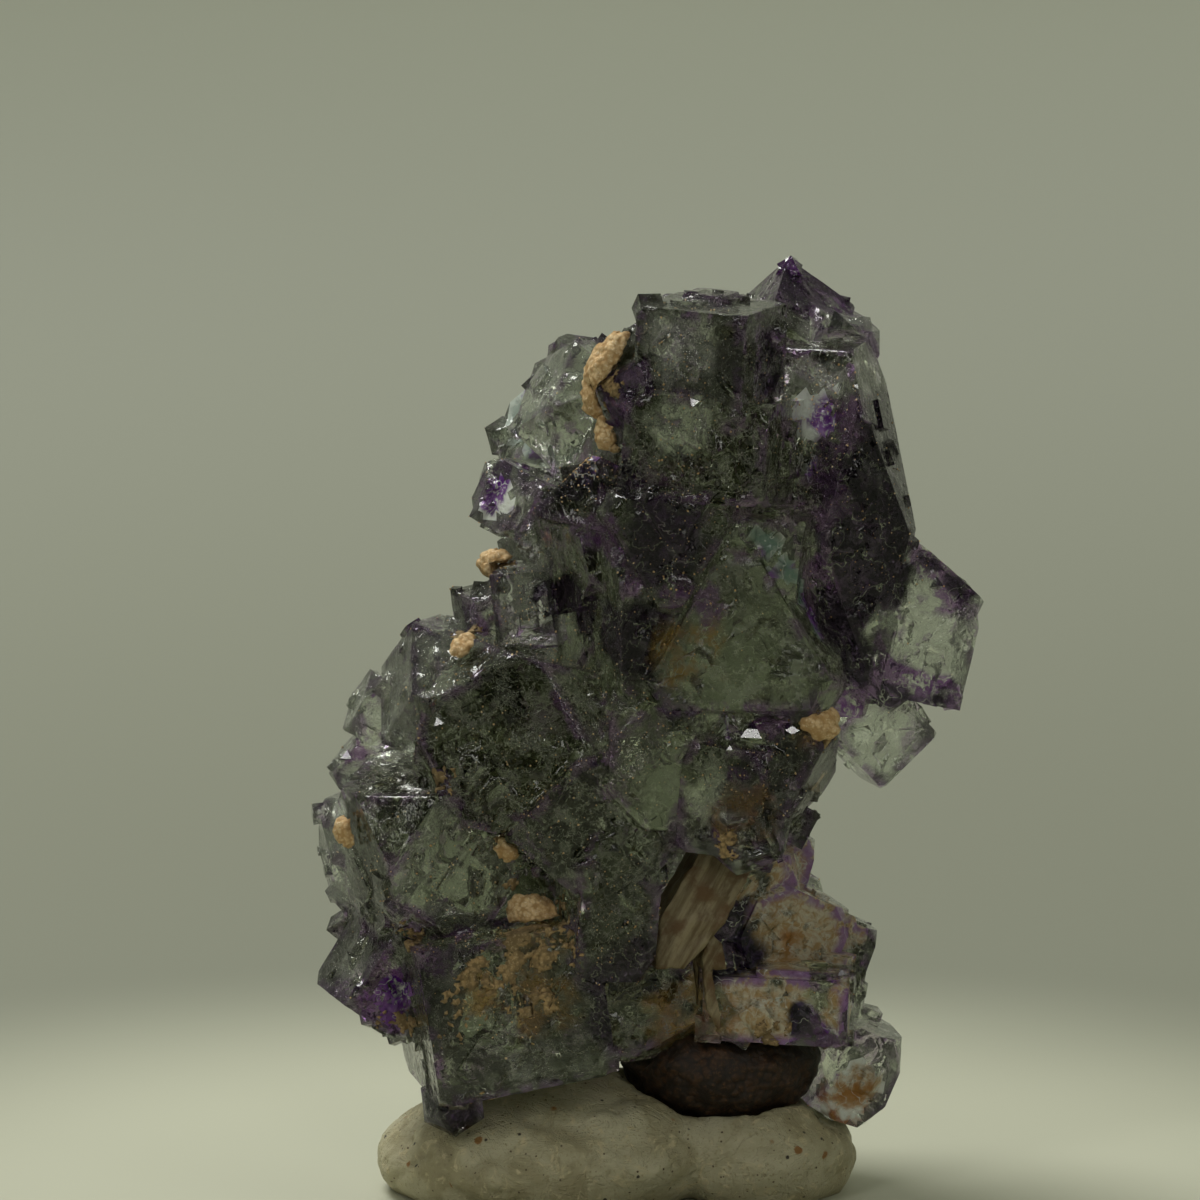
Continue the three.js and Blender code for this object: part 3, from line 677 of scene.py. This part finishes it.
# The dust: tiny tan and white grains that lie on every ledge and stick to every rough face, most of them
# on the dark sloping crystal and the crown. Each is a little eight-sided grain, half sunk in the surface.
DUST_SPOTS = (
    (-0.4, -5.2, 34.0, 1.6, 320), (3.8, -7.0, 38.4, 2.4, 160), (9.6, -4.2, 36.0, 2.2, 260),
    (4.0, -7.6, 34.6, 2.6, 160), (3.4, -8.0, 29.0, 2.4, 240), (-3.8, -4.0, 27.6, 1.4, 90),
    (-7.4, -5.0, 22.6, 2.2, 110), (-3.6, -6.6, 19.0, 3.2, 260), (2.0, -7.4, 23.0, 3.2, 240),
    (-7.6, -6.0, 15.0, 2.8, 220), (-4.4, -7.0, 11.0, 2.6, 260), (1.0, -7.0, 14.0, 2.6, 160),
    (6.8, -7.6, 20.6, 2.0, 140), (12.4, -4.0, 30.0, 2.6, 120), (8.4, -3.0, 10.6, 2.4, 120),
    (0.0, 0.0, 26.0, 9.0, 900), (0.0, 2.0, 14.0, 8.0, 700), (2.0, 9.0, 26.0, 5.0, 420),
    (-2.0, 8.4, 14.0, 4.0, 320),
)


def dust_on(surface, rng):
    """A bmesh of tiny grains, each at the nearest point of the surface to a place near its spot."""
    bm = bmesh.new()
    for x, y, z, spread, count in DUST_SPOTS:
        patch = bmesh.new()
        for _ in range(count):
            near = Vector((rng.gauss(x, spread * 0.6), rng.gauss(y, spread * 0.4), rng.gauss(z, spread * 0.6)))
            spot, normal, _, _ = surface.find_nearest(near * MM)
            if normal.z < -0.3:
                continue
            size = (0.014 + 0.045 * rng.random() ** 3) * MM
            stretch = Matrix.Diagonal((size, size * rng.uniform(0.6, 1.2), size * rng.uniform(0.6, 1.2), 1))
            turn = Matrix.Rotation(rng.uniform(0, math.tau), 4, Vector((rng.random(), rng.random(), 1)))
            bmesh.ops.create_cone(
                patch, cap_ends=True, segments=5, radius1=1.0, radius2=0.5, depth=1.4,
                matrix=Matrix.Translation(spot) @ turn @ stretch,
            )
        mesh = bpy.data.meshes.new("dust_patch")
        patch.to_mesh(mesh)
        patch.free()
        bm.from_mesh(mesh)
        bpy.data.meshes.remove(mesh)
    return bm


crystal_surface = bvhtree.BVHTree.FromPolygons(
    [vert.co for vert in grown_crystals.data.vertices],
    [tuple(face.vertices) for face in grown_crystals.data.polygons],
)
finished(dust_on(crystal_surface, random.Random(5)), "tan_dust", tan_matrix, [], 80)

# The pale blades: two feldspar crystals in the hollow below the overhang, opaque and creamy, with fine grooves along
# their length and worn edges. Their tones are darkened below the feldspar's own cream as painted shade from the
# overhang.


def blade_material():
    material, tree, output, place = new_material("feldspar_and_painted_shade")
    turned = add_node(tree, "ShaderNodeMapping", {"Vector": place, "Rotation": (0.0, math.radians(-30), 0.0)})
    stretched = add_node(tree, "ShaderNodeMapping", {"Vector": turned.outputs[0], "Scale": (3.4, 3.4, 0.25)})
    grooves = noise_of(tree, stretched.outputs[0], 1.0, 5.0, 0.6)
    patch = noise_of(tree, place, 0.9, 4.0, 0.6)
    # The groove tones are the feldspar's cream and brown, darkened as painted shade from the overhang; the darker
    # patches are its own stains.
    color = blended(tree, ramp(tree, grooves, 0.35, 0.65), tint(92, 76, 48), tint(138, 126, 96))
    color = blended(tree, ramp(tree, patch, 0.42, 0.66), color, tint(92, 68, 38))
    height = maths(tree, "ADD", grooves, maths(tree, "MULTIPLY", noise_of(tree, place, 7.0, 4.0), 0.3))
    bump = add_node(tree, "ShaderNodeBump", {"Height": height, "Strength": 0.7, "Distance": 0.15 * MM})
    roughness = maths(tree, "ADD", maths(tree, "MULTIPLY", patch, 0.3), 0.4)
    shader = add_node(
        tree,
        "ShaderNodeBsdfPrincipled",
        {"Base Color": color, "Roughness": roughness, "IOR": 1.53, "Normal": bump.outputs["Normal"]},
    )
    tree.links.new(shader.outputs[0], output.inputs["Surface"])
    return material


feldspar = blade_material()
for index, name in enumerate(("blade_large", "blade_small")):
    blade = merged_copy(name)
    evened(blade, 0.25 * MM)
    roughened(blade, 9.0 + index, 1.1, 0.12, 2.8, 0.04)
    finished(blade, name + "_grooved", feldspar, [name], 40)

# The putty: a pad of grey-green mounting clay, kneaded into two lobes and pressed flat underneath. It is
# soft and dull, with a crease between the lobes, shallow finger marks, dents and dark specks of dirt.


def putty_material():
    material, tree, output, place = new_material("mounting_putty")
    patch = noise_of(tree, place, 0.35, 4.0, 0.55, 0.5)
    fine = noise_of(tree, place, 6.0, 5.0, 0.6)
    smear = noise_of(tree, place, 1.1, 6.0, 0.65, 1.6)
    color = blended(tree, ramp(tree, patch, 0.35, 0.65), tint(150, 142, 110), tint(182, 176, 146))
    color = blended(tree, ramp(tree, smear, 0.52, 0.7), color, tint(196, 184, 146))
    color = blended(tree, ramp(tree, fine, 0.55, 0.75), color, tint(138, 128, 94))
    for scale, size, share, speck_color in (
        (1.3, 0.13, 0.72, tint(52, 46, 36)), (2.6, 0.16, 0.62, tint(84, 70, 48)), (0.9, 0.2, 0.8, tint(136, 98, 52))
    ):
        speck = add_node(tree, "ShaderNodeTexVoronoi", {"Vector": place, "Scale": scale}, feature="F1")
        chance = add_node(tree, "ShaderNodeSeparateColor", {0: speck.outputs["Color"]}).outputs[0]
        uneven = maths(tree, "ADD", speck.outputs["Distance"], maths(tree, "MULTIPLY", fine, 0.12))
        mask = maths(tree, "MULTIPLY", ramp(tree, uneven, size + 0.08, size), ramp(tree, chance, share, share + 0.02))
        color = blended(tree, mask, color, speck_color)
    creases = thin_lines(tree, place, 0.5, 0.03, 1.8)
    scratches = add_node(tree, "ShaderNodeMapping", {"Vector": place, "Scale": (1.0, 1.0, 6.0)}).outputs[0]
    print_lines = noise_of(tree, scratches, 1.3, 3.0, 0.5, 0.8)
    height = maths(tree, "ADD", maths(tree, "MULTIPLY", smear, 0.5), maths(tree, "MULTIPLY", fine, 0.12))
    height = maths(tree, "ADD", height, maths(tree, "MULTIPLY", print_lines, 0.25))
    height = maths(tree, "SUBTRACT", height, maths(tree, "MULTIPLY", creases, 0.25))
    bump = add_node(tree, "ShaderNodeBump", {"Height": height, "Strength": 0.6, "Distance": 0.4 * MM})
    roughness = maths(tree, "ADD", maths(tree, "MULTIPLY", patch, 0.2), 0.5)
    shader = add_node(
        tree,
        "ShaderNodeBsdfPrincipled",
        {"Base Color": color, "Roughness": roughness, "IOR": 1.5, "Normal": bump.outputs["Normal"]},
    )
    tree.links.new(shader.outputs[0], output.inputs["Surface"])
    return material


def kneaded(bm):
    """Gives the pad its folds, dents and pressed edges, with its underside kept flat."""
    moves = []
    for vert in bm.verts:
        point = vert.co / MM
        warped = point + noise.noise_vector(point * 0.22) * 2.6
        fold = max(0.0, 1.0 - abs(noise.noise(warped * 0.30)) / 0.07) * 0.22
        dent = noise.noise(point * 0.7 + Vector((3, 9, 1))) * 0.16
        pit = max(0.0, noise.noise(point * 2.2) - 0.32) * 0.5
        free = min(1.0, max(0.0, point.z - 0.15) / 0.8)
        moves.append(vert.normal * ((dent - fold - pit) * free * MM))
    for vert, move in zip(bm.verts, moves):
        vert.co += move
    bm.normal_update()


putty = merged_copy("putty_pad")
evened(putty, 0.32 * MM)
for _ in range(6):
    inner = [vert for vert in putty.verts if vert.co.z > 0.05 * MM]
    bmesh.ops.smooth_vert(putty, verts=inner, factor=0.5, use_axis_x=True, use_axis_y=True, use_axis_z=True)
putty.normal_update()
kneaded(putty)
finished(putty, "putty_kneaded", putty_material(), ["putty_pad"], 60)

# The studio: a wide pale floor whose colour carries painted light, a large soft light above and behind, and a weaker
# one in front.
FLOOR_RADIUS = 4.0


def add_light(name, place, aim, size, power, colour):
    data = bpy.data.lights.new(name, "AREA")
    data.shape = "DISK"
    data.size = size
    data.energy = power
    data.color = colour
    light = bpy.data.objects.new(name, data)
    light.location = place
    light.rotation_euler = (Vector(aim) - Vector(place)).to_track_quat("-Z", "Y").to_euler()
    scene.collection.objects.link(light)
    return light


floor_mesh = bmesh.new()
bmesh.ops.create_circle(floor_mesh, cap_ends=True, segments=96, radius=FLOOR_RADIUS)
floor_data = bpy.data.meshes.new("floor")
floor_mesh.to_mesh(floor_data)
floor_mesh.free()
floor = bpy.data.objects.new("floor", floor_data)
scene.collection.objects.link(floor)
floor_material, tree, output, place = new_material("floor_with_painted_light")
across = add_node(tree, "ShaderNodeVectorMath", {0: place, 1: (1.0, 1.0, 0.0)}, operation="MULTIPLY")
reach = add_node(tree, "ShaderNodeVectorMath", {0: across.outputs[0]}, operation="LENGTH").outputs["Value"]
# Painted light: the floor's colour changes with distance from the object, lighter close to it, darker in a ring from
# 24 to 60 mm and lighter again far off, to paint the fall of the light across it.
floor_color_and_painted_light = blended(tree, ramp(tree, reach, 24.0, 60.0), tint(184, 185, 165), tint(122, 124, 110))
floor_color_and_painted_light = blended(tree, ramp(tree, reach, 60.0, 800.0), floor_color_and_painted_light, tint(216, 219, 206))
shader = add_node(tree, "ShaderNodeBsdfPrincipled", {"Base Color": floor_color_and_painted_light, "Roughness": 0.6})
tree.links.new(shader.outputs[0], output.inputs["Surface"])
floor_data.materials.append(floor_material)

world = bpy.data.worlds.new("studio")
world.use_nodes = True
tree = world.node_tree
tree.nodes.clear()
direction = tree.nodes.new("ShaderNodeTexCoord").outputs["Generated"]
axes = add_node(tree, "ShaderNodeSeparateXYZ", {0: direction})
glow = blended(tree, ramp(tree, axes.outputs["Y"], -0.9, 0.6), tint(24, 25, 22), tint(162, 165, 146))
windows = ramp(tree, noise_of(tree, direction, 2.8, 2.0, 0.4), 0.62, 0.64)
windows = maths(tree, "MULTIPLY", windows, ramp(tree, axes.outputs["Y"], -0.15, -0.35))
windows = maths(tree, "MULTIPLY", windows, ramp(tree, axes.outputs["Z"], 0.05, 0.25))
glow = blended(tree, windows, glow, tint(255, 255, 248))
strength = maths(tree, "ADD", maths(tree, "MULTIPLY", windows, 2.5), 1.0)
background = add_node(tree, "ShaderNodeBackground", {"Color": glow, "Strength": strength})
world_output = tree.nodes.new("ShaderNodeOutputWorld")
tree.links.new(background.outputs[0], world_output.inputs["Surface"])
scene.world = world

middle = (0.0, 0.0, 0.02)
add_light("sky_panel", (-0.14, 0.14, 0.42), middle, 0.22, 1.6, (1.0, 1.0, 0.97))
add_light("front_panel", (-0.22, -0.34, 0.42), middle, 0.07, 0.16, (1.0, 0.99, 0.95))

# The camera: a long lens at the photograph's height, looking slightly down.
CAMERA_HEIGHT_ANGLE = math.radians(8)
CAMERA_DISTANCE = 0.4
aim = Vector((-0.227 * MM, 0.0, 27.27 * MM))
lens = bpy.data.cameras.new("camera")
lens.sensor_width = 36.0
lens.lens = 264.0
lens.clip_start = 0.01
camera = bpy.data.objects.new("camera", lens)
back = Vector((0.0, -math.cos(CAMERA_HEIGHT_ANGLE), math.sin(CAMERA_HEIGHT_ANGLE)))
camera.location = aim + back * CAMERA_DISTANCE
camera.rotation_euler = back.to_track_quat("Z", "Y").to_euler()
scene.collection.objects.link(camera)
scene.camera = camera
scene.view_settings.view_transform = "Standard"
